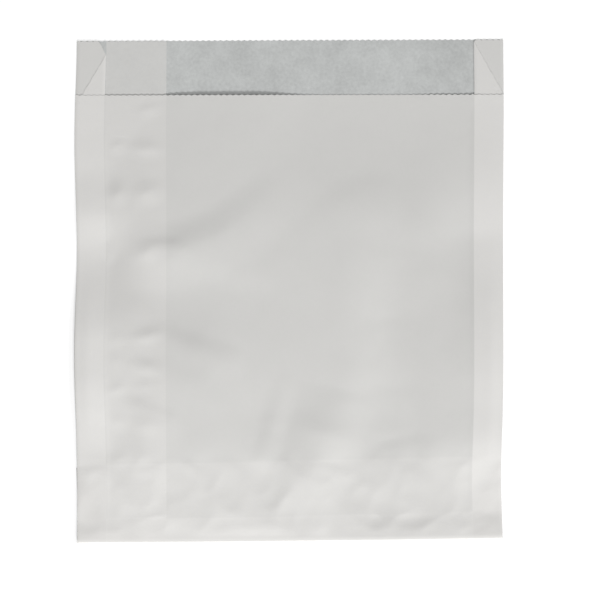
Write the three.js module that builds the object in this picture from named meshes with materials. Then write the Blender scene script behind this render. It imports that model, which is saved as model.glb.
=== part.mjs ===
// Flat sandwich bag: one sheet of greaseproof paper folded into a side-gusseted tube with a lip mouth.
// Units are mm. The bag lies on its back: front panel up (+Z), mouth toward +Y, width along X.
import * as THREE from "three";

// Driving dimensions of the bag
const bagWidth = 152;
const bagHeight = 178.1;
const lipHeight = 19.5;
const gussetDepth = 10.4;
const seamOverlap = 21.7;
const seamInset = 10.6;
const turnUnder = 9;
const foldSkewDeg = 0.64;
const paperThickness = 0.06;

// The serrated knife that cuts both ends of the tube
const toothPitch = 2.1;
const toothDepth = 0.35;
const knifeFrontWidth = 154.3;
const knifeOffset = -1.16;
const knifeRun = 10.9;

// How the plies lie on each other
const plyPitch = 0.12;
const turnGap = 0.14;
const stepStart = 31;
const stepLength = 16;

// How the front panel stands off the back
const loft = 1.5;
const mouthLift = 0.7;
const gussetDip = 0.2;

// Soft creases in the front panel: points [x, height above the fold], half width and rise
const creases = [
  { points: [[-54, 104.5], [-19, 115], [1.5, 131.5]], halfWidth: 8, rise: 0.5 },
  { points: [[-56, 72], [-24, 65]], halfWidth: 8, rise: 0.4 },
  { points: [[-7, 33], [17, 54]], halfWidth: 8, rise: 0.5 },
  { points: [[44, 92], [60, 100]], halfWidth: 8, rise: 0.3 },
];

// Fineness of the sheet's facets
const frontSteps = 22;
const backSteps = 16;
const lapSteps = 5;
const gussetSteps = 2;
const turnSteps = 4;
const bendSteps = 6;
const mouthRows = 9;

// Values that follow from the driving dimensions
const halfWidth = bagWidth / 2;
const innerFold = halfWidth - gussetDepth;
const frontHeight = bagHeight - lipHeight;
const cutLength = bagHeight + turnUnder;
const outerEdgeX = -halfWidth + seamInset;
const innerEdgeX = outerEdgeX + seamOverlap;
const frontLevel = 4 * plyPitch;
const skew = (foldSkewDeg * Math.PI) / 180;
const bendLength = Math.PI * (turnGap / 2 + frontLevel / 2);
const foldBase = paperThickness / 2 + frontLevel + turnGap;
const floorBase = paperThickness / 2;

function smoothstep(from, to, value) {
  const t = Math.min(1, Math.max(0, (value - from) / (to - from)));
  return t * t * (3 - 2 * t);
}

// Distance from a point to a chain of points
function chainDistance(x, y, points) {
  let best = Infinity;
  for (let i = 1; i < points.length; i += 1) {
    const [ax, ay] = points[i - 1];
    const [bx, by] = points[i];
    const dx = bx - ax;
    const dy = by - ay;
    const t = Math.min(1, Math.max(0, ((x - ax) * dx + (y - ay) * dy) / (dx * dx + dy * dy)));
    best = Math.min(best, Math.hypot(x - ax - t * dx, y - ay - t * dy));
  }
  return best;
}

// Height of the front panel over its folded edges
function frontDrape(x, height) {
  const inside = smoothstep(0, 6, innerFold - Math.abs(x));
  const along = smoothstep(4, 45, height);
  const across = Math.cos((0.5 * Math.PI * x) / innerFold) ** 2;
  const mouth = mouthLift * smoothstep(frontHeight - 40, frontHeight, height);
  let rise = 0;
  for (const crease of creases) {
    const distance = chainDistance(x, height, crease.points);
    rise += crease.rise * (1 - smoothstep(0, crease.halfWidth, distance));
  }
  return inside * (along * ((loft + mouth) * across + rise) - gussetDip * smoothstep(0, 12, height));
}

// Adds a flat run of the section between two x positions at one level
function addRun(stations, fromX, toX, level, steps, free) {
  const last = stations[stations.length - 1];
  const startS = last ? last.s : 0;
  for (let i = last ? 1 : 0; i <= steps; i += 1) {
    const x = fromX + ((toX - fromX) * i) / steps;
    stations.push({ s: startS + Math.abs(x - fromX), x, level, free });
  }
}

// Adds a half-round turn whose crown is at edgeX, on the side given by sign
function addTurn(stations, edgeX, sign, fromLevel, toLevel) {
  const last = stations[stations.length - 1];
  const radius = Math.abs(toLevel - fromLevel) / 2;
  const middle = (fromLevel + toLevel) / 2;
  for (let i = 1; i <= turnSteps; i += 1) {
    const angle = (Math.PI * i) / turnSteps;
    const x = edgeX - sign * radius * (1 - Math.sin(angle));
    const level = middle - ((toLevel - fromLevel) / 2) * Math.cos(angle);
    stations.push({ s: last.s + radius * angle, x, level, free: false });
  }
}

// One gusset and the folds that join it to its two panels
function addGusset(stations, sign, fromLevel, toLevel) {
  const step = (toLevel - fromLevel) / 3;
  const radius = Math.abs(step) / 2;
  const outerX = sign * halfWidth;
  const innerX = sign * innerFold;
  const nearOuter = outerX - sign * radius;
  const nearInner = innerX + sign * radius;
  addTurn(stations, outerX, sign, fromLevel, fromLevel + step);
  addRun(stations, nearOuter, nearInner, fromLevel + step, gussetSteps, false);
  addTurn(stations, innerX, -sign, fromLevel + step, fromLevel + 2 * step);
  addRun(stations, nearInner, nearOuter, fromLevel + 2 * step, gussetSteps, false);
  addTurn(stations, outerX, sign, fromLevel + 2 * step, toLevel);
}

// The tube's section, from the inner free edge of the back seam round to its outer free edge
function tubeSection() {
  const stations = [];
  const leftTurn = (frontLevel - plyPitch) / 6;
  const rightTurn = frontLevel / 6;
  addRun(stations, innerEdgeX, -halfWidth + leftTurn, plyPitch, lapSteps, false);
  addGusset(stations, -1, plyPitch, frontLevel);
  addRun(stations, -halfWidth + leftTurn, halfWidth - rightTurn, frontLevel, frontSteps, true);
  addGusset(stations, 1, frontLevel, 0);
  addRun(stations, halfWidth - rightTurn, outerEdgeX, 0, backSteps, false);
  const frontStart = stations.find((station) => station.free);
  const centreS = frontStart.s - frontStart.x;
  return stations.map((station) => ({ ...station, s: station.s - centreS }));
}

// The knife line: low across the front panel, high across the back plies
function knifeLine(s) {
  const past = Math.abs(s - knifeOffset) - knifeFrontWidth / 2;
  return frontHeight + lipHeight * Math.min(1, Math.max(0, past / knifeRun));
}

function tooth(s) {
  const phase = s / toothPitch - Math.floor(s / toothPitch);
  return toothDepth * (Math.abs(2 * phase - 1) - 0.5);
}

// Height of the lowest back ply over the turned-under end and down to the surface past it
function baseHeight(w) {
  return foldBase + (floorBase - foldBase) * smoothstep(stepStart, stepStart + stepLength, w);
}

// Carries a point of the tube (station, height along the tube) round the bottom fold
function placePoint(station, height) {
  const u = station.x * Math.cos(skew) + height * Math.sin(skew);
  const w = height * Math.cos(skew) - station.x * Math.sin(skew);
  const drape = station.free && w > 0 ? frontDrape(station.x, w) : 0;
  const level = station.level + drape;
  const radius = turnGap / 2 + level;
  let foldedW = w;
  let z = baseHeight(w) + level;
  if (w < 0) {
    const angle = Math.PI * Math.min(1, -w / bendLength);
    foldedW = Math.max(0, -w - bendLength) - radius * Math.sin(angle);
    z = foldBase - turnGap / 2 + radius * Math.cos(angle);
  }
  const x = u * Math.cos(skew) - foldedW * Math.sin(skew);
  const y = u * Math.sin(skew) + foldedW * Math.cos(skew);
  return new THREE.Vector3(x, y, z);
}

// Rows of one column of the sheet, as heights along the tube, without the two cut ends
function columnRows(station) {
  const top = knifeLine(station.s) - 1.2;
  const bottom = knifeLine(station.s) - cutLength + 1.2;
  const foldShift = station.x * Math.tan(skew);
  const bendEnd = foldShift - bendLength / Math.cos(skew);
  const rows = [bottom, (bottom + bendEnd) / 2];
  for (let i = bendSteps; i >= 0; i -= 1) {
    rows.push(foldShift - ((bendLength / Math.cos(skew)) * i) / bendSteps);
  }
  const fixed = [6, 14, 22, stepStart, stepStart + stepLength / 3, stepStart + (2 * stepLength) / 3];
  for (const w of fixed) {
    rows.push(foldShift + w / Math.cos(skew));
  }
  const start = foldShift + (stepStart + stepLength) / Math.cos(skew);
  for (let i = 0; i <= mouthRows; i += 1) {
    rows.push(start + ((top - start) * i) / mouthRows);
  }
  return rows;
}

// Stations of a cut end: every tooth tip and root in the flat runs, with the columns' own stations
function rimStations(stations) {
  const spans = [];
  for (let i = 1; i < stations.length; i += 1) {
    const a = stations[i - 1];
    const b = stations[i];
    const span = [a];
    const first = Math.ceil((2 * a.s) / toothPitch + 0.2);
    for (let k = first; (k * toothPitch) / 2 < b.s - 0.1 * toothPitch; k += 1) {
      const s = (k * toothPitch) / 2;
      const t = (s - a.s) / (b.s - a.s);
      const mix = (p, q) => p + (q - p) * t;
      span.push({ s, x: mix(a.x, b.x), level: mix(a.level, b.level), free: a.free && b.free });
    }
    span.push(b);
    spans.push(span);
  }
  return spans;
}

// The sheet's middle surface as points, triangles and its outline
function middleSurface() {
  const stations = tubeSection();
  const spans = rimStations(stations);
  const points = [];
  const triangles = [];
  const add = (point) => points.push(point) - 1;
  const columns = stations.map((station) => columnRows(station).map((h) => add(placePoint(station, h))));
  for (let i = 1; i < columns.length; i += 1) {
    for (let j = 1; j < columns[i].length; j += 1) {
      const [a, b, c, d] = [columns[i - 1][j - 1], columns[i][j - 1], columns[i][j], columns[i - 1][j]];
      triangles.push([a, b, c], [a, c, d]);
    }
  }
  const rimHeight = { top: (s) => knifeLine(s) + tooth(s), bottom: (s) => knifeLine(s) - cutLength + tooth(s) };
  const rims = {};
  for (const end of ["top", "bottom"]) {
    const rim = [add(placePoint(stations[0], rimHeight[end](stations[0].s)))];
    spans.forEach((span, i) => {
      const ids = [rim[rim.length - 1]];
      span.slice(1).forEach((station) => ids.push(add(placePoint(station, rimHeight[end](station.s)))));
      rim.push(...ids.slice(1));
      const row = end === "top" ? columns[i].length - 1 : 0;
      const left = columns[i][row];
      const right = columns[i + 1][row];
      const half = Math.floor(ids.length / 2);
      const face = (a, b, c) => triangles.push(end === "top" ? [a, b, c] : [a, c, b]);
      ids.slice(1).forEach((id, k) => face(k + 1 <= half ? left : right, id, ids[k]));
      face(left, right, ids[half]);
    });
    rims[end] = rim;
  }
  const firstColumn = columns[0];
  const lastColumn = columns[columns.length - 1];
  const outline = [...rims.bottom, ...lastColumn, ...rims.top.slice().reverse(), ...firstColumn.slice().reverse()];
  return { points, triangles, outline };
}

// Corner-weighted normals of the middle surface
function surfaceNormals(points, triangles) {
  const normals = points.map(() => new THREE.Vector3());
  for (const corners of triangles) {
    const [a, b, c] = corners.map((id) => points[id]);
    const normal = new THREE.Vector3().subVectors(b, a).cross(new THREE.Vector3().subVectors(c, a)).normalize();
    corners.forEach((id, k) => {
      const toNext = new THREE.Vector3().subVectors(points[corners[(k + 1) % 3]], points[id]);
      const toLast = new THREE.Vector3().subVectors(points[corners[(k + 2) % 3]], points[id]);
      normals[id].addScaledVector(normal, toNext.angleTo(toLast));
    });
  }
  return normals.map((normal) => normal.normalize());
}

// The closed sheet: both faces of the paper and its cut edges
function foldedSheet() {
  const { points, triangles, outline } = middleSurface();
  const normals = surfaceNormals(points, triangles);
  const count = points.length;
  const half = paperThickness / 2;
  const outer = points.map((point, i) => point.clone().addScaledVector(normals[i], half));
  const inner = points.map((point, i) => point.clone().addScaledVector(normals[i], -half));
  const faces = [];
  for (const [a, b, c] of triangles) {
    faces.push([a, b, c], [c + count, b + count, a + count]);
  }
  outline.forEach((id, k) => {
    const next = outline[(k + 1) % outline.length];
    faces.push([id, id + count, next + count], [id, next + count, next]);
  });
  const geometry = new THREE.BufferGeometry();
  geometry.setFromPoints([...outer, ...inner]);
  geometry.setIndex(faces.flat());
  geometry.computeBoundingBox();
  const box = geometry.boundingBox;
  geometry.translate(-(box.min.x + box.max.x) / 2, -(box.min.y + box.max.y) / 2, -box.min.z);
  geometry.computeVertexNormals();
  return geometry;
}

const greaseproofPaper = new THREE.MeshStandardMaterial({ color: 0xf1f1ee, roughness: 0.55, metalness: 0 });
greaseproofPaper.name = "greaseproof_paper";

const bag = new THREE.Mesh(foldedSheet(), greaseproofPaper);
bag.name = "paper_bag";

const part = new THREE.Group();
part.name = "part";
part.add(bag);

export default part;
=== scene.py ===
"""A flat paper sandwich bag on a white floor: one sheet of greaseproof paper, folded, creased and lit."""
import math

import bpy
import numpy as np
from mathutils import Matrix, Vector, noise


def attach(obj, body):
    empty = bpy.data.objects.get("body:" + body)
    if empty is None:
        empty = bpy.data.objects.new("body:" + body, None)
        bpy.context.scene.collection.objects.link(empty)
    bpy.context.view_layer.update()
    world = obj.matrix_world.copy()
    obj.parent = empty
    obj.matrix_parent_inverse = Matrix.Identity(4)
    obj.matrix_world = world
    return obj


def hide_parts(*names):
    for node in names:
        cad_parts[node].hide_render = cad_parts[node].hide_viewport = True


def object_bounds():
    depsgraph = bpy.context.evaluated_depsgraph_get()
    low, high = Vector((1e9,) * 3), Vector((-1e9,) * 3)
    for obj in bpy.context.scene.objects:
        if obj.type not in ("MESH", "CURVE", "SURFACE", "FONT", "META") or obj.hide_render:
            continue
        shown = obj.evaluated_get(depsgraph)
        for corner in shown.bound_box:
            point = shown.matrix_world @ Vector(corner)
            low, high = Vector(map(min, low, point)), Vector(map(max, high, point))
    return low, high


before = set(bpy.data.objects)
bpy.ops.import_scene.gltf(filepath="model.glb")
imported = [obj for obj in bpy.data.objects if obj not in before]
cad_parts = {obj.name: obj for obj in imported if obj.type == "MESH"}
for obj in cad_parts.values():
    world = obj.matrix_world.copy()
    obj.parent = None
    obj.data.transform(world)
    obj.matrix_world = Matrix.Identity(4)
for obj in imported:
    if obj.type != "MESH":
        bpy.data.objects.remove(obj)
cad_low, cad_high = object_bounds()

# One millimetre, in metres
MM = 0.001

# Driving dimensions of the bag, in mm, and the angle of its fold, as in the part's source
BAG_WIDTH = 152.0
BAG_HEIGHT = 178.1
LIP_HEIGHT = 19.5
GUSSET_DEPTH = 10.4
SEAM_OVERLAP = 21.7
SEAM_INSET = 10.6
TURN_UNDER = 9.0
FOLD_SKEW = math.radians(0.64)
PAPER = 0.06
TOOTH_PITCH = 2.1
TOOTH_DEPTH = 0.35
KNIFE_FRONT_WIDTH = 154.3
KNIFE_OFFSET = -1.16
KNIFE_RUN = 10.9
PLY_PITCH = 0.12
TURN_GAP = 0.14
STEP_START = 31.0
STEP_LENGTH = 16.0

# Values that follow from the driving dimensions
HALF_WIDTH = BAG_WIDTH / 2
INNER_FOLD = HALF_WIDTH - GUSSET_DEPTH
FRONT_HEIGHT = BAG_HEIGHT - LIP_HEIGHT
CUT_LENGTH = BAG_HEIGHT + TURN_UNDER
OUTER_EDGE_X = -HALF_WIDTH + SEAM_INSET
INNER_EDGE_X = OUTER_EDGE_X + SEAM_OVERLAP
FOLD_LEVEL = 4 * PLY_PITCH
BEND_LENGTH = math.pi * (TURN_GAP / 2 + FOLD_LEVEL / 2)
FOLD_BASE = PAPER / 2 + FOLD_LEVEL + TURN_GAP
FLOOR_BASE = PAPER / 2
STEP_END = STEP_START + STEP_LENGTH

# The front panel between the gussets: its rise, where over the fold that starts and is full,
# in mm, and the share that it keeps of the step over the turned-under end
MIDDLE_RISE = 0.8
MIDDLE_START = 2.0
MIDDLE_FULL = 60.0
STEP_KEPT = 0.6

# The mouth: its gap, how far down the panel closes to it, its bulge, and its wider right end, in mm
MOUTH_GAP = 0.13
MOUTH_REACH = 52.0
MOUTH_BULGE = 0.50
MOUTH_BULGE_X = -23.0
MOUTH_BULGE_HALF = 22.0
MOUTH_BULGE_POWER = 4
MOUTH_END_GAP = 0.15
MOUTH_END_START = 45.0
MOUTH_END_FULL = 60.0

# The least height of the front panel, the least where a single back ply lies under it, how wide the change
# between the two is, and where over the fold they are in force, in mm
LEAST_RISE = 0.30
MIDDLE_LEAST = 0.10
MIDDLE_LEAST_FADE = 8.0
LEAST_FULL = 6.0

# The panel over the gussets: its rise, the step down at their inner folds, the share of its height that is
# left at the outer folds, and how far into the panel a gusset's swelling reaches, by side (-1 left), in mm
GUSSET_RISE = 0.7
GUSSET_FULL = 25.0
INNER_STEP = 0.15
INNER_STEP_WIDTH = 1.3
INNER_STEP_START = 3.0
INNER_STEP_FULL = 20.0
EDGE_PINCH = 0.8
PINCH_WIDTH = 5.0
GUSSET_REACH = {-1: 15.0, 1: 22.0}

# Flanks along the gussets, by side: start and end over the fold, and change of height, in mm
GUSSET_FLANKS = {
    -1: [
        (4, 28, -0.30),
        (31, 48, 1.35),
        (40, 60, 0.80),
        (72, 104, -2.30),
        (103, 118, 0.75),
        (117, 134, -0.60),
        (134, 158, -0.16),
    ],
    1: [
        (8, 46, 2.45),
        (56, 110, -2.60),
        (105, 124, 0.40),
        (126, 158, -0.62),
    ],
}

# Creases of the front panel: points (x, height over the fold), rises from the first point to the last,
# then how far the flanks left and right of the way along the points reach, in mm
CREASES = [
    (
        [(-53, 104), (-41, 103), (-28, 107), (-19, 112), (-10, 120), (-1, 129)],
        (0.14, 0.64, 0.60, 0.40, 0.18),
        11.5,
        16.0,
    ),
    (
        [(-68, 66), (-56, 60), (-44, 56), (-31, 55), (-15, 59)],
        (0.75, 1.15, 1.55, 1.50, 0.25),
        33.0,
        60.0,
    ),
    ([(-56, 74), (-46, 73.5), (-34, 69), (-21, 65)], (0.06, 0.20, 0.22, 0.14), 6.0, 9.0),
    ([(-68, 82), (-57, 80)], (0.22, 0.34), 12.0, 30.0),
    ([(-66, 51), (-55, 48), (-44, 43.5)], (0.26, 0.30, 0.18), 5.0, 12.0),
    ([(8, 24), (12.5, 38), (17, 54)], (0.95, 1.20, 0.15), 18.0, 16.0),
    ([(-8.5, 29), (-5, 42), (-1.5, 55)], (0.20, 0.30, 0.10), 6.0, 6.0),
    ([(47, 91), (66, 98)], (0.10, 0.30), 9.0, 12.0),
    ([(45, 36), (53, 38), (64, 40)], (0.16, 0.74, 0.80), 62.0, 26.0),
    ([(37, 38), (36, 55), (35, 78), (36, 100)], (-0.40, -0.95, -0.95, -0.30), 18.0, 20.0),
    ([(36, 31), (44, 33)], (0.20, 0.15), 5.0, 14.0),
    ([(20, 120), (31, 122)], (0.22, 0.18), 10.0, 14.0),
    ([(-46, 5), (8, 5)], (0.10, 0.20, 0.20, 0.10), 20.0, 4.0),
    ([(14, 64), (26, 65), (36, 66)], (0.50, 0.85, 0.60), 60.0, 40.0),
    ([(34, 112), (62, 112)], (0.40, 0.60), 46.0, 60.0),
    ([(-36, 100), (-18, 97), (0, 92)], (0.06, 0.27, 0.06), 14.0, 10.0),
    ([(-54, 105.5), (-42, 105)], (0.12, 0.25), 4.0, 12.0),
]

# Creases that run on over the gussets, written in the same way
WIDE_CREASES = [
    ([(20, 0), (34, 0), (60, 0), (76, 0)], (0.15, 0.60, 0.62, 0.72), 10.0, 3.0),
    ([(-76, 0), (-66, 0)], (0.42, 0.05), 7.0, 3.0),
]

# The distance over which two stretches of a crease blend, in mm
CREASE_BLEND = 1.5

# Puckers of the pasted seam: height over the fold, rise left and right of the paste,
# tilt, and half length along the seam, in mm
PUCKERS = [
    (153, 0.18, 0.22, 0.15, 4.2),
    (140.5, 0.22, 0.26, -0.10, 3.8),
    (124, 0.36, 0.36, 0.05, 5.6),
    (102, 0.00, 0.24, 0.20, 4.6),
    (72.5, 0.12, 0.24, 0.10, 3.4),
    (63.5, 0.10, 0.30, -0.20, 4.0),
    (55, 0.18, 0.12, 0.12, 3.2),
    (42.5, 0.18, 0.20, -0.15, 4.2),
    (30, 0.10, 0.06, 0.10, 3.6),
]

# The line of paste, the puckers' places beside it and half breadths, in mm, the power that sharpens
# their tops, and where over the fold they start and are full, in mm
PASTE_X = -57.2
PUCKER_LEFT = -4.0
PUCKER_LEFT_HALF = 5.0
PUCKER_RIGHT = 6.5
PUCKER_RIGHT_HALF = 7.5
PUCKER_POWER = 1.3
PUCKERS_START = 4.0
PUCKERS_FULL = 20.0

# Fine crumples of the bottom band: height and scale in mm, squash along the bag, and seed;
# then where over the fold they begin to fade and are gone, in mm
CRUMPLES = [(0.22, 15.0, 0.8, 3.1), (0.10, 7.0, 1.0, 8.4)]
CRUMPLES_FADE = 26.0
CRUMPLES_GONE = 32.0

# Slow waves of the whole front: height and scale in mm, and seed
WAVES = [(0.10, 26.0, 5.7), (0.03, 9.0, 1.9)]

# Where over the fold crumples and waves start and are full, in mm
FOLD_FLAT = 0.5
FOLD_FREE = 5.0

# The free lip's curl: height at the cut, reach below it, and the length and phase of its wave, in mm
LIP_CURL = 0.04
CURL_REACH = 16.0
CURL_WAVE = 17.0
CURL_PHASE = 1.1

# How the outline wanders. The left edge: its tuck, more of it low down, and a wave, in mm
WAVER_START = 30.0
LEFT_TUCK = 0.2
LOW_TUCK = 0.8
LOW_TUCK_START = -4.0
LOW_TUCK_END = 34.0
LEFT_WAVE = 0.42
LEFT_WAVE_PEAK = 104.0
LEFT_WAVE_LENGTH = 12.2

# The right edge: how far out each swell goes, its place and its half length, in mm
RIGHT_SWELLS = [(0.25, 155.0, 22.0), (-0.8, 24.0, 20.0)]

# The bottom fold: its bow and its squeeze, and between which heights each fades, in mm
FOLD_BOW = 0.35
BOW_END = 30.0
FOLD_SQUEEZE = 0.55
SQUEEZE_START = -1.0
SQUEEZE_END = 12.0

# The top edge: its slant, in mm for each mm across, and where over the fold that starts and is full
TOP_SLANT = 0.0042
SLANT_START = 140.0
SLANT_FULL = 178.0

# How much narrower the turned-under end is, as a share, and how far past the fold that is full, in mm
TURNED_TUCK = 0.004
TUCK_FULL = 4.0

# Fineness of the sheet's facets: pitches and insets in mm, and numbers of steps
FRONT_PITCH = 1.25
BACK_PITCH = 2.8
SIDE_PITCH = 1.3
ROW_PITCH = 1.35
TURN_SPACING = 0.02
TURN_STEPS = 5
BEND_STEPS = 8
TURNED_ROWS = 8
RIM_INSET = 1.3
EDGE_LINE = 0.06

# Stations beside a mark: how near the pair is, how far the others keep off,
# and how far the front's mark at the seam's outer edge lies beside that edge, in mm
MARK_HALF = 0.06
MARK_CLEAR = 0.4
SEAM_MARK_SHIFT = 0.25

# Rows from the fold to the end of the step, close where an end shows through: first, last and count
ROW_BANDS = [(1.2, 7.2, 6), (7.8, 10.2, 5), (11.4, 26.4, 12), (27.2, 30.2, 6), (31.4, STEP_END, 13)]

# Teeth are cut where stations are further apart than this, and keep this far off them, in mm
TOOTH_SPAN = 0.3
TOOTH_CLEAR = 0.15

# Keeps a division from meeting zero
TINY = 1e-12

# Colours of the paper by how many plies lie under the surface, in sRGB 0 to 255
PLY_TONES = {
    1: (188, 190, 189),
    2: (207, 206.2, 203.8),
    3: (211.8, 210.6, 208.2),
    4: (217.2, 215.9, 213.5),
    6: (214.5, 213, 210.5),
    8: (213, 211.5, 209),
}

# How much a turned-under ply counts for the tone, against a ply of the body, and a pasted ply in the lip
TURNED_SHOWS = 0.8
PASTED_SHOWS = 0.8

# Plies that the tone shows inside a gusset, and the shares of the height from which a ply counts
# as in the gusset, as inside its fold, and as the front
GUSSET_PLIES = 3.4
GUSSET_SHARE = 0.1
INSIDE_SHARE = 0.45
FRONT_SHARE = 0.95

# How wide the change of tone is across an edge and across an end, and two small offsets of it, in mm
EDGE_FADE = 0.12
END_FADE = 0.5
FOLD_TONE_SHIFT = 0.02
LAP_TONE_CLEAR = 0.2

# The paper's noise: scale, detail and roughness of each layer
CLOUD_NOISE = (150.0, 5.0, 0.62)
PATCH_NOISE = (40.0, 2.0, 0.5)
FIBRE_NOISE = (900.0, 3.0, 0.6)
DIMPLE_NOISE = (260.0, 3.0, 0.5)

# Paper counts as thin below so many plies; then how strong cloud and patches are for each ply less,
# how strong the cloud is anywhere, and the fibre's strength as a share of the cloud's
THIN_PLIES = 2.0
THIN_CLOUD = 0.34
THIN_PATCH = 0.30
EVEN_CLOUD = 0.03
FIBRE_SHARE = 0.9

# The paper's surface; the bump's distance is in metres
PAPER_ROUGHNESS = 0.52
PAPER_SPECULAR = 0.35
BUMP_STRENGTH = 0.25
BUMP_DISTANCE = 0.0001
BUMP_FIBRE = 0.15

# The photograph's frame: the bag's outline in its pixels, and the camera that sees it
PHOTO_SIDE_PX = 600
BAG_LEFT_PX = 75.3
BAG_RIGHT_PX = 502.9
BAG_TOP_PX = 39.1
MM_PER_PX = BAG_WIDTH / (BAG_RIGHT_PX - BAG_LEFT_PX)
CAMERA_HEIGHT = 0.9
SENSOR_MM = 36.0

# Floor, world and lamps, in metres; the floor and the world are lighter for rays that show them
FLOOR_SIZE = 6.0
FLOOR_LEVEL = -0.00002
FLOOR_GREY = 0.48
FLOOR_LIFT = 0.60
WORLD_LIGHT = 0.335
WORLD_LIFT = 0.665
KEY_PLACE = (0.16, -1.61, 0.742)
KEY_WATTS = 34.0
KEY_SIZE = 0.28
WINDOW_PLACE = (0.8, -0.3, 0.58)
WINDOW_STRENGTH = 1.12
WINDOW_ANGLE = math.radians(20)
WHITE = (1, 1, 1, 1)


def smoothstep(low, high, value):
    """0 below the first value, 1 above the second, and smooth between them."""
    t = np.clip((value - low) / (high - low), 0.0, 1.0)
    return t * t * (3 - 2 * t)


def edge_fade(inside, width):
    """0 outside an edge, 1 inside it, and a straight change between them over that width."""
    return np.clip(inside / width + 0.5, 0, 1)


def to_linear(channel):
    """A channel from sRGB, 0 to 255, to linear, 0 to 1."""
    c = channel / 255
    return c / 12.92 if c <= 0.04045 else ((c + 0.055) / 1.055) ** 2.4


def swell(distance, reach):
    """A smooth crest that falls to nothing at that reach."""
    return smoothstep(0.0, 1.0, 1 - distance / reach)


def crease_rise(x, y, points, rises, left, right):
    """Rise of one crease, which changes along it; its two flanks can differ in width."""
    distances = []
    heights = []
    spans = len(points) - 1
    for i, ((ax, ay), (bx, by)) in enumerate(zip(points[:-1], points[1:])):
        dx = bx - ax
        dy = by - ay
        t = np.clip(((x - ax) * dx + (y - ay) * dy) / (dx * dx + dy * dy), 0.0, 1.0)
        px = x - ax - t * dx
        py = y - ay - t * dy
        distance = np.hypot(px, py)
        side = (dx * py - dy * px) / np.maximum(distance * math.hypot(dx, dy), TINY)
        width = right + (left - right) * (0.5 + 0.5 * np.clip(side, -1, 1))
        rise = np.interp((i + t) / spans, np.linspace(0, 1, len(rises)), rises)
        distances.append(distance)
        heights.append(rise * swell(distance, width))
    nearest = np.min(distances, axis=0)
    weights = np.exp((nearest - np.array(distances)) / CREASE_BLEND)
    return np.sum(weights * heights, axis=0) / np.sum(weights, axis=0)


def all_creases(x, y, creases):
    """Rise of a list of creases together."""
    return sum(crease_rise(x, y, *crease) for crease in creases)


def grain(x, y, scale, seed):
    """Smooth repeatable noise between -1 and 1, on a scale in mm."""
    wide_x, wide_y = np.broadcast_arrays(x / scale, y / scale)
    flat = [noise.noise(Vector((a, b, seed))) for a, b in zip(wide_x.ravel(), wide_y.ravel())]
    return np.array(flat).reshape(wide_x.shape)


def crumple(x, y, scale, seed):
    """Facets between sharp little ridges, between -1 and 1."""
    return 1 - np.abs(2 * grain(x, y, scale, seed))


def base_height(w):
    """Height of the lowest back ply: over the turned-under end, then down on the surface."""
    return FOLD_BASE + (FLOOR_BASE - FOLD_BASE) * smoothstep(STEP_START, STEP_END, w)


def gusset_top(side, w):
    """Height of the front panel over the folded gusset of one side."""
    height = FOLD_LEVEL + (GUSSET_RISE - FOLD_LEVEL) * smoothstep(0, GUSSET_FULL, w)
    for start, stop, change in GUSSET_FLANKS[side]:
        height = height + change * smoothstep(start, stop, w)
    return height


def middle_top(x, w):
    """Height of the front panel between the gussets, down to the gap at the mouth."""
    body = FOLD_LEVEL + (MIDDLE_RISE - FOLD_LEVEL) * smoothstep(MIDDLE_START, MIDDLE_FULL, w)
    body = body + all_creases(x, w, CREASES) + STEP_KEPT * (FOLD_BASE - base_height(w))
    bulge = MOUTH_BULGE * np.exp(-(((x - MOUTH_BULGE_X) / MOUTH_BULGE_HALF) ** MOUTH_BULGE_POWER))
    gap = MOUTH_GAP + bulge + MOUTH_END_GAP * smoothstep(MOUTH_END_START, MOUTH_END_FULL, x)
    return body + (gap - body) * smoothstep(FRONT_HEIGHT - MOUTH_REACH, FRONT_HEIGHT, w)


def seam_puckers(x, w):
    """Small pillows on both sides of the seam's line of paste."""
    height = np.zeros(np.shape(x))
    from_paste = x - PASTE_X
    for place_at, rise_left, rise_right, tilt, half_length in PUCKERS:
        pillows = ((PUCKER_LEFT, PUCKER_LEFT_HALF, rise_left), (PUCKER_RIGHT, PUCKER_RIGHT_HALF, rise_right))
        for offset, half_breadth, rise in pillows:
            along = (w - place_at - tilt * from_paste) / half_length
            reach = np.hypot((from_paste - offset) / half_breadth, along)
            height = height + rise * np.clip(1 - reach, 0, 1) ** PUCKER_POWER
    return height


def fine_relief(x, w):
    """Crumples of the bottom band and slow waves of the whole front."""
    above_fold = smoothstep(FOLD_FLAT, FOLD_FREE, w)
    bottom_band = above_fold * (1 - smoothstep(CRUMPLES_FADE, CRUMPLES_GONE, w))
    height = 0.0
    for rise, scale, squash, seed in CRUMPLES:
        height = height + rise * bottom_band * (crumple(x, squash * w, scale, seed) - 0.5)
    for rise, scale, seed in WAVES:
        height = height + rise * above_fold * grain(x, w, scale, seed)
    return height


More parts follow.
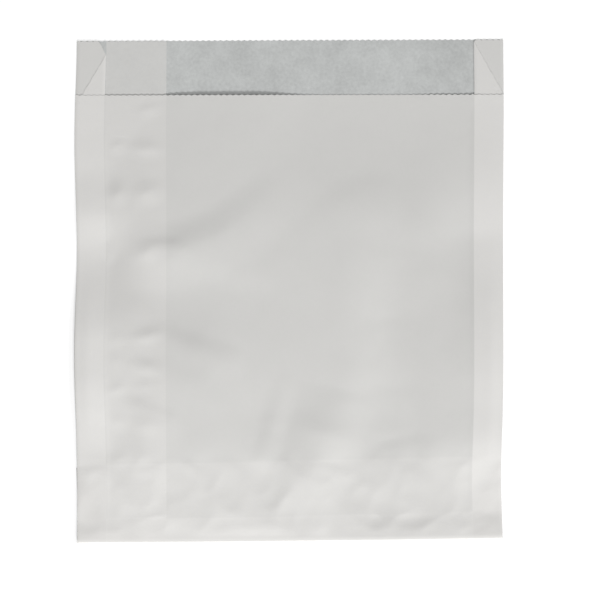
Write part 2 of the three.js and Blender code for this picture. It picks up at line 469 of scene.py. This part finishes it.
def front_top(x, w):
    """Height of the front panel over the lowest back ply."""
    height = middle_top(x, w)
    for side in (-1, 1):
        inward = INNER_FOLD - side * x
        beside = smoothstep(0.0, GUSSET_REACH[side], inward)
        step = INNER_STEP * smoothstep(0.0, INNER_STEP_WIDTH, inward)
        step = step * smoothstep(INNER_STEP_START, INNER_STEP_FULL, w)
        pinch = EDGE_PINCH + (1 - EDGE_PINCH) * smoothstep(0.0, PINCH_WIDTH, HALF_WIDTH - side * x)
        gusset = LEAST_RISE + (gusset_top(side, w) - LEAST_RISE) * pinch
        height = height * beside + (gusset - step) * (1 - beside)
    height = height + seam_puckers(x, w) * smoothstep(PUCKERS_START, PUCKERS_FULL, w)
    height = height + all_creases(x, w, WIDE_CREASES) + fine_relief(x, w)
    single = smoothstep(INNER_EDGE_X, INNER_EDGE_X + MIDDLE_LEAST_FADE, x)
    single = single * smoothstep(0, MIDDLE_LEAST_FADE, INNER_FOLD - x)
    least = LEAST_RISE + (MIDDLE_LEAST - LEAST_RISE) * single
    return np.maximum(height, least + (FOLD_LEVEL - least) * (1 - smoothstep(0, LEAST_FULL, w)))


def lip_curl(x, w):
    """The free lip lifts a little towards its cut edge."""
    wave = 0.5 + 0.5 * np.sin(x / CURL_WAVE + CURL_PHASE)
    return LIP_CURL * smoothstep(BAG_HEIGHT - CURL_REACH, BAG_HEIGHT, w) * wave


def knife_line(s):
    """Height of the stepped cut at a place across the web."""
    past = np.abs(s - KNIFE_OFFSET) - KNIFE_FRONT_WIDTH / 2
    return FRONT_HEIGHT + LIP_HEIGHT * np.clip(past / KNIFE_RUN, 0.0, 1.0)


def tooth(s):
    """Height of the teeth over the middle of their line."""
    phase = np.mod(s / TOOTH_PITCH, 1.0)
    return TOOTH_DEPTH * (np.abs(2 * phase - 1) - 0.5)


def add_flat(stations, start_s, from_x, to_x, back, share, pitch, marks=(), ends=(False, False)):
    """A flat ply from one x to another, with a station every pitch and a close pair at each mark."""
    count = max(2, round(abs(to_x - from_x) / pitch))
    places = [from_x + (to_x - from_x) * i / count for i in range(count + 1)]
    if not ends[0]:
        places = places[1:]
    if not ends[1]:
        places = places[:-1]
    for mark in marks:
        places = [p for p in places if abs(p - mark) > MARK_CLEAR]
        places += [mark - MARK_HALF, mark + MARK_HALF]
    line = math.copysign(EDGE_LINE, to_x - from_x)
    places += [from_x + line] * ends[0] + [to_x - line] * ends[1]
    places.sort(reverse=to_x < from_x)
    for x in places:
        s = start_s + abs(x - from_x)
        stations.append(dict(s=s, edge=x, turn=0.0, angle=0.0, back=back, share=share, half=0.0))
    return start_s + abs(to_x - from_x)


def add_turn(stations, start_s, edge, sign, back, share, half):
    """A half-round fold whose crown is at edge, from one share of the height to the next."""
    for i in range(TURN_STEPS + 1):
        s = start_s + TURN_SPACING * i
        angle = math.pi * i / TURN_STEPS
        stations.append(dict(s=s, edge=edge, turn=sign, angle=angle, back=back, share=share, half=half))
    return start_s + TURN_SPACING * TURN_STEPS


def tube_section():
    """The section from the seam's inner free edge round to its outer free edge."""
    stations = []
    front_marks = (OUTER_EDGE_X - SEAM_MARK_SHIFT, INNER_EDGE_X, INNER_FOLD)
    sixth = 1 / 6
    s = add_flat(
        stations, 0.0, INNER_EDGE_X, -HALF_WIDTH, PLY_PITCH, 0.0, SIDE_PITCH, (OUTER_EDGE_X,), (True, False)
    )
    s = add_turn(stations, s, -HALF_WIDTH, -1, PLY_PITCH, sixth, sixth)
    s = add_flat(stations, s, -HALF_WIDTH, -INNER_FOLD, PLY_PITCH, 2 * sixth, SIDE_PITCH)
    s = add_turn(stations, s, -INNER_FOLD, 1, PLY_PITCH, 3 * sixth, sixth)
    s = add_flat(stations, s, -INNER_FOLD, -HALF_WIDTH, PLY_PITCH, 4 * sixth, SIDE_PITCH)
    s = add_turn(stations, s, -HALF_WIDTH, -1, PLY_PITCH, 5 * sixth, sixth)
    front_s = s + HALF_WIDTH
    s = add_flat(stations, s, -HALF_WIDTH, HALF_WIDTH, 0.0, 1.0, FRONT_PITCH, front_marks)
    s = add_turn(stations, s, HALF_WIDTH, 1, 0.0, 5 * sixth, -sixth)
    s = add_flat(stations, s, HALF_WIDTH, INNER_FOLD, 0.0, 4 * sixth, SIDE_PITCH)
    s = add_turn(stations, s, INNER_FOLD, -1, 0.0, 3 * sixth, -sixth)
    s = add_flat(stations, s, INNER_FOLD, HALF_WIDTH, 0.0, 2 * sixth, SIDE_PITCH)
    s = add_turn(stations, s, HALF_WIDTH, 1, 0.0, sixth, -sixth)
    add_flat(stations, s, HALF_WIDTH, OUTER_EDGE_X, 0.0, 0.0, BACK_PITCH, (), (False, True))
    columns = {key: np.array([station[key] for station in stations], float) for key in stations[0]}
    columns["s"] = columns["s"] - front_s
    return columns


def outline_waver(x, y):
    """How far the outline wanders from straight, across and along the bag."""
    near_left = smoothstep(WAVER_START, HALF_WIDTH, -x)
    near_right = smoothstep(WAVER_START, HALF_WIDTH, x)
    tuck = LEFT_TUCK + LOW_TUCK * (1 - smoothstep(LOW_TUCK_START, LOW_TUCK_END, y))
    left = (tuck + LEFT_WAVE * np.cos((y - LEFT_WAVE_PEAK) / LEFT_WAVE_LENGTH)) * near_left
    right = sum(out * np.exp(-(((y - peak) / half) ** 2)) for out, peak, half in RIGHT_SWELLS) * near_right
    bow = FOLD_BOW * (1 - (x / HALF_WIDTH) ** 2) * (1 - smoothstep(0, BOW_END, y))
    squeeze = FOLD_SQUEEZE * (1 - smoothstep(SQUEEZE_START, SQUEEZE_END, y))
    slant = TOP_SLANT * (HALF_WIDTH - x) * smoothstep(SLANT_START, SLANT_FULL, y)
    return left + right, squeeze - bow - slant


def place(columns, height):
    """Carries points of the tube, given by column and height along it, round the bottom fold."""
    cosine = math.cos(FOLD_SKEW)
    sine = math.sin(FOLD_SKEW)
    edge = columns["edge"]
    back = columns["back"]
    w = height * cosine - edge * sine
    top = front_top(edge, np.maximum(w, 0.0))
    top = top + (FOLD_LEVEL - top) * smoothstep(0.0, BEND_LENGTH, -w)
    level = back + (columns["share"] - columns["half"] * np.cos(columns["angle"])) * (top - back)
    radius = np.abs(columns["half"]) * (top - back)
    x = edge - columns["turn"] * radius * (1 - np.sin(columns["angle"]))
    u = x * cosine + height * sine
    u = u * (1 - TURNED_TUCK * smoothstep(0.0, TUCK_FULL, -w))
    angle = math.pi * np.clip(-w / BEND_LENGTH, 0.0, 1.0)
    bend = TURN_GAP / 2 + level
    past_bend = np.maximum(0.0, -w - BEND_LENGTH)
    folded_w = np.where(w < 0, past_bend - bend * np.sin(angle), w)
    turned_z = FOLD_BASE - TURN_GAP / 2 + bend * np.cos(angle)
    z = np.where(w < 0, turned_z, base_height(w) + level + lip_curl(x, w))
    plan_x = u * cosine - folded_w * sine
    plan_y = u * sine + folded_w * cosine
    shift_x, shift_y = outline_waver(plan_x, plan_y)
    return np.stack([plan_x + shift_x, plan_y + shift_y, z], axis=-1)


def row_heights(columns):
    """Heights along the tube of each column's rows, close together where an edge shows through."""
    s = columns["s"]
    shift = columns["edge"] * math.tan(FOLD_SKEW)
    top = knife_line(s) - RIM_INSET
    bottom = knife_line(s) - CUT_LENGTH + RIM_INSET
    bend_end = shift - BEND_LENGTH
    rows = [bottom + (bend_end - bottom) * i / TURNED_ROWS for i in range(TURNED_ROWS)]
    rows += [shift - BEND_LENGTH * (1 - i / BEND_STEPS) for i in range(BEND_STEPS + 1)]
    for first, last, count in ROW_BANDS:
        rows += [shift + w for w in np.linspace(first, last, count)]
    start = shift + STEP_END
    count = round((BAG_HEIGHT - LIP_HEIGHT / 2 - STEP_END) / ROW_PITCH)
    rows += [start + (top - start) * i / count for i in range(1, count + 1)]
    return np.stack(rows, axis=1)


def turned_plies(x, w):
    """How many plies of the turned-under end lie under a point of the bag."""
    slant = x * math.sin(FOLD_SKEW)
    front_end = LIP_HEIGHT + TURN_UNDER + slant
    back_end = TURN_UNDER + slant
    past_fold = np.abs(x) - INNER_FOLD
    gusset_end = back_end + np.maximum(past_fold / KNIFE_RUN * LIP_HEIGHT, 0)
    seam = ((x > OUTER_EDGE_X) & (x < INNER_EDGE_X)).astype(float)
    plies = edge_fade(front_end - w, END_FADE) + edge_fade(back_end - w, END_FADE) * (1 + seam)
    return plies + edge_fade(past_fold, EDGE_FADE) * 2 * edge_fade(gusset_end - w, END_FADE)


def ply_count(columns, height):
    """How many plies lie at and under each point of the sheet, as its top face shows them."""
    x = columns["edge"] + 0 * height
    w = height * math.cos(FOLD_SKEW) - x * math.sin(FOLD_SKEW)
    lap = edge_fade(x - OUTER_EDGE_X, EDGE_FADE) * edge_fade(INNER_EDGE_X - x, EDGE_FADE)
    gusset = edge_fade(np.abs(x) - INNER_FOLD - FOLD_TONE_SHIFT, EDGE_FADE)
    share = columns["share"] + 0 * height
    lap_ply_end = columns["s"][0] + SEAM_OVERLAP + SEAM_INSET - LAP_TONE_CLEAR
    on_lap_ply = columns["s"] + 0 * height < lap_ply_end
    plies = np.where(on_lap_ply, 1 + PASTED_SHOWS * lap, 1.0)
    plies = np.where(share > GUSSET_SHARE, 2.0, plies)
    plies = np.where(share > INSIDE_SHARE, GUSSET_PLIES, plies)
    plies = np.where(share > FRONT_SHARE, 2 + lap + 2 * gusset, plies)
    return plies + TURNED_SHOWS * turned_plies(x, np.maximum(w, 0))


def sheet_surface():
    """Points, triangles, outline and ply counts of the sheet's middle surface."""
    columns = tube_section()
    heights = row_heights(columns)
    wide = {key: value[:, None] for key, value in columns.items()}
    count, rows = heights.shape
    ids = np.arange(count * rows).reshape(count, rows)
    a = ids[:-1, :-1].ravel()
    b = ids[1:, :-1].ravel()
    c = ids[1:, 1:].ravel()
    d = ids[:-1, 1:].ravel()
    triangles = [np.stack([a, b, c], 1), np.stack([a, c, d], 1)]
    points = [place(wide, heights).reshape(-1, 3)]
    tones = [ply_count(wide, heights).ravel()]
    ends = []
    for drop, row, inward in ((CUT_LENGTH, 0, EDGE_LINE), (0.0, rows - 1, -EDGE_LINE)):
        first_id = sum(len(p) for p in points)
        rim, line, faces, rim_points, rim_tones = cut_edge(columns, drop, ids[:, row], first_id, inward)
        ends.append((rim, line))
        triangles.append(faces)
        points.append(rim_points)
        tones.append(rim_tones)
    (low, low_line), (high, high_line) = ends
    last_side = np.concatenate([low_line[-1:], ids[-1], high_line[-1:]])
    first_side = np.concatenate([high_line[:1], ids[0][::-1], low_line[:1]])
    outline = np.concatenate([low, last_side, high[::-1], first_side])
    return np.concatenate(points), np.concatenate(triangles), outline, np.concatenate(tones)


def tooth_stations(s):
    """The cut edge's points, as column and share of the way to the next, and the span of each column."""
    stations = [(0, 0.0)]
    spans = []
    for i in range(len(s) - 1):
        gap = s[i + 1] - s[i]
        inner = []
        if gap > TOOTH_SPAN:
            first = math.ceil(2 * (s[i] + TOOTH_CLEAR) / TOOTH_PITCH)
            last = math.floor(2 * (s[i + 1] - TOOTH_CLEAR) / TOOTH_PITCH)
            inner = [(i, (k * TOOTH_PITCH / 2 - s[i]) / gap) for k in range(first, last + 1)]
        start = len(stations) - 1
        stations += inner + [(i, 1.0)]
        spans.append((start, len(stations) - 1))
    return stations, spans


def cut_edge(columns, drop, row_ids, first_id, inward):
    """A serrated cut end: every tooth tip and root, and a line close inside it joined to the last row."""
    stations, spans = tooth_stations(columns["s"])
    index = np.array([i for i, _ in stations])
    t = np.array([t for _, t in stations])
    mixed = {key: (value[index] * (1 - t) + value[index + 1] * t)[:, None] for key, value in columns.items()}
    height = knife_line(mixed["s"]) - drop + tooth(mixed["s"])
    rim_points = np.concatenate([place(mixed, height)[:, 0], place(mixed, height + inward)[:, 0]])
    rim_tones = np.tile(ply_count(mixed, height + inward).ravel(), 2)
    rim = first_id + np.arange(len(stations))
    line = rim + len(stations)
    faces = [(line[k], line[k + 1], rim[k + 1]) for k in range(len(stations) - 1)]
    faces += [(line[k], rim[k + 1], rim[k]) for k in range(len(stations) - 1)]
    for i, (start, stop) in enumerate(spans):
        middle = start + (stop - start + 1) // 2
        faces += [(row_ids[i], line[k + 1], line[k]) for k in range(start, middle)]
        faces += [(row_ids[i + 1], line[k + 1], line[k]) for k in range(middle, stop)]
        faces.append((row_ids[i], row_ids[i + 1], line[middle]))
    faces = np.array(faces)
    if inward > 0:
        faces = faces[:, ::-1]
    return rim, line, faces, rim_points, rim_tones


def lengths(vectors):
    """The length of each vector, kept off zero, as a column."""
    return np.maximum(np.linalg.norm(vectors, axis=1, keepdims=True), TINY)


def vertex_normals(points, triangles):
    """Normals at the points, each triangle counting by its angle there."""
    corners = points[triangles]
    normal = np.cross(corners[:, 1] - corners[:, 0], corners[:, 2] - corners[:, 0])
    normal /= lengths(normal)
    total = np.zeros_like(points)
    for k in range(3):
        to_next = corners[:, (k + 1) % 3] - corners[:, k]
        to_last = corners[:, (k + 2) % 3] - corners[:, k]
        cosine = np.einsum("ij,ij->i", to_next / lengths(to_next), to_last / lengths(to_last))
        np.add.at(total, triangles[:, k], normal * np.arccos(np.clip(cosine, -1, 1))[:, None])
    return total / lengths(total)


def make_bag():
    """The closed sheet as a mesh, in the place where the CAD has its solid."""
    points, triangles, outline, plies = sheet_surface()
    normals = vertex_normals(points, triangles)
    both = np.concatenate([points + normals * PAPER / 2, points - normals * PAPER / 2])
    shift_x = cad_high[0] / MM - HALF_WIDTH
    shift_y = cad_high[1] / MM - BAG_HEIGHT - TOOTH_DEPTH / 2
    placed = both + [shift_x, shift_y, -both[:, 2].min()]
    count = len(points)
    following = np.roll(outline, -1)
    walls = [np.stack([outline, outline + count, following + count], 1)]
    walls.append(np.stack([outline, following + count, following], 1))
    faces = np.concatenate([triangles, triangles[:, ::-1] + count] + walls)
    mesh = bpy.data.meshes.new("paper_sheet")
    mesh.from_pydata((placed * MM).tolist(), [], faces.tolist())
    cut_faces = 2 * len(outline)
    mesh.polygons.foreach_set("use_smooth", [True] * (len(faces) - cut_faces) + [False] * cut_faces)
    attribute = mesh.attributes.new("plies", "FLOAT", "POINT")
    attribute.data.foreach_set("value", np.concatenate([plies, plies]))
    mesh.update()
    bag = bpy.data.objects.new("paper_sheet", mesh)
    bpy.context.collection.objects.link(bag)
    return bag


class Nodes:
    """A short way to build a node tree."""

    def __init__(self, tree):
        self.tree = tree
        tree.nodes.clear()

    def add(self, kind, inputs=None, **settings):
        node = self.tree.nodes.new(kind)
        for name, value in settings.items():
            setattr(node, name, value)
        for name, value in (inputs or {}).items():
            if isinstance(value, bpy.types.NodeSocket):
                self.tree.links.new(value, node.inputs[name])
            else:
                node.inputs[name].default_value = value
        return node

    def math(self, operation, a, b=0.0):
        return self.add("ShaderNodeMath", {0: a, 1: b}, operation=operation).outputs[0]

    def noise(self, where, scale, detail, rough):
        inputs = {"Vector": where, "Scale": scale, "Detail": detail, "Roughness": rough}
        return self.add("ShaderNodeTexNoise", inputs).outputs["Fac"]

    def about_zero(self, value, strength):
        """A noise value, 0 to 1, as a change up and down of that strength."""
        return self.math("MULTIPLY", self.math("SUBTRACT", value, 0.5), strength)


def new_material(name):
    """A material and a way to build its nodes."""
    material = bpy.data.materials.new(name)
    material.use_nodes = True
    return material, Nodes(material.node_tree)


def ply_tone(n, plies):
    """The paper's colour over so many plies, from the table of tones."""
    most = max(PLY_TONES) + 1
    ramp = n.add("ShaderNodeValToRGB", {"Fac": n.math("DIVIDE", plies, most)})
    elements = ramp.color_ramp.elements
    for count, tone in PLY_TONES.items():
        element = elements.new(count / most)
        element.color = [to_linear(channel) for channel in tone] + [1]
    elements.remove(elements[0])
    elements[-1].color = elements[-2].color
    return ramp.outputs["Color"]


def paper_material():
    """Greaseproof paper: its tone follows the plies under it, with cloudy fibre and fine grain."""
    material, n = new_material("greaseproof_paper")
    where = n.add("ShaderNodeTexCoord").outputs["Object"]
    plies = n.add("ShaderNodeAttribute", attribute_name="plies").outputs["Fac"]
    tone = ply_tone(n, plies)
    thin = n.math("MAXIMUM", n.math("SUBTRACT", THIN_PLIES, plies), 0.0)
    cloud = n.noise(where, *CLOUD_NOISE)
    patch = n.noise(where, *PATCH_NOISE)
    fibre = n.noise(where, *FIBRE_NOISE)
    strength = n.math("ADD", n.math("MULTIPLY", thin, THIN_CLOUD), EVEN_CLOUD)
    patchy = n.about_zero(patch, n.math("MULTIPLY", thin, THIN_PATCH))
    cloudy = n.math("ADD", n.about_zero(cloud, strength), patchy)
    grainy = n.about_zero(fibre, n.math("MULTIPLY", strength, FIBRE_SHARE))
    factor = n.math("ADD", 1.0, n.math("ADD", cloudy, grainy))
    colour = n.add("ShaderNodeVectorMath", {0: tone, "Scale": factor}, operation="SCALE")
    height = n.math("ADD", n.noise(where, *DIMPLE_NOISE), n.math("MULTIPLY", fibre, BUMP_FIBRE))
    bump_inputs = {"Height": height, "Strength": BUMP_STRENGTH, "Distance": BUMP_DISTANCE}
    bump = n.add("ShaderNodeBump", bump_inputs)
    inputs = {
        "Base Color": colour.outputs[0],
        "Roughness": PAPER_ROUGHNESS,
        "Specular IOR Level": PAPER_SPECULAR,
        "Normal": bump.outputs[0],
    }
    shader = n.add("ShaderNodeBsdfPrincipled", inputs)
    n.add("ShaderNodeOutputMaterial", {"Surface": shader.outputs[0]})
    return material


def seen_directly(n):
    """1 for rays that show the background, 0 for rays that light the object."""
    path = n.add("ShaderNodeLightPath").outputs
    mirrored = n.math("MAXIMUM", path["Is Glossy Ray"], path["Is Transmission Ray"])
    return n.math("MAXIMUM", path["Is Camera Ray"], mirrored)


def make_floor():
    """A white floor that keeps the bag's shadow."""
    bpy.ops.mesh.primitive_plane_add(size=FLOOR_SIZE, location=(0, 0, FLOOR_LEVEL))
    floor = bpy.context.object
    floor.name = "floor"
    material, n = new_material("floor_white")
    diffuse = n.add("ShaderNodeBsdfDiffuse", {"Color": (FLOOR_GREY, FLOOR_GREY, FLOOR_GREY, 1)})
    strength = n.math("MULTIPLY", seen_directly(n), FLOOR_LIFT)
    lift = n.add("ShaderNodeEmission", {"Color": WHITE, "Strength": strength})
    both = n.add("ShaderNodeAddShader", {0: diffuse.outputs[0], 1: lift.outputs[0]})
    n.add("ShaderNodeOutputMaterial", {"Surface": both.outputs[0]})
    floor.data.materials.append(material)


def make_world():
    """White to look at, and an even light from all round."""
    world = bpy.data.worlds.new("studio")
    bpy.context.scene.world = world
    world.use_nodes = True
    n = Nodes(world.node_tree)
    strength = n.math("ADD", n.math("MULTIPLY", seen_directly(n), WORLD_LIFT), WORLD_LIGHT)
    background = n.add("ShaderNodeBackground", {"Color": WHITE, "Strength": strength})
    n.add("ShaderNodeOutputWorld", {"Surface": background.outputs[0]})


def make_lamp(name, kind, place_at, power, size):
    """A lamp that looks at the middle of the bag."""
    lamp = bpy.data.lights.new(name, kind)
    lamp.energy = power
    if kind == "AREA":
        lamp.size = size
    else:
        lamp.angle = size
    lamp_object = bpy.data.objects.new(name, lamp)
    bpy.context.collection.objects.link(lamp_object)
    lamp_object.location = place_at
    lamp_object.rotation_euler = (-Vector(place_at)).to_track_quat("-Z", "Y").to_euler()


def make_camera():
    """Straight above, framed so that the bag sits where the photograph has it."""
    middle_px = PHOTO_SIDE_PX / 2
    x = cad_high[0] - (BAG_RIGHT_PX - middle_px) * MM_PER_PX * MM
    y = cad_high[1] + (BAG_TOP_PX - middle_px) * MM_PER_PX * MM
    data = bpy.data.cameras.new("camera")
    data.sensor_width = SENSOR_MM
    data.lens = SENSOR_MM * CAMERA_HEIGHT / (PHOTO_SIDE_PX * MM_PER_PX * MM)
    camera = bpy.data.objects.new("camera", data)
    bpy.context.collection.objects.link(camera)
    camera.location = (x, y, CAMERA_HEIGHT)
    bpy.context.scene.camera = camera


make_camera()
bag = make_bag()
bag.data.materials.append(paper_material())
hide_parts("paper_bag")
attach(bag, "root")
make_floor()
make_world()
make_lamp("key", "AREA", KEY_PLACE, KEY_WATTS, KEY_SIZE)
make_lamp("window", "SUN", WINDOW_PLACE, WINDOW_STRENGTH, WINDOW_ANGLE)
bpy.context.scene.view_settings.view_transform = "Standard"
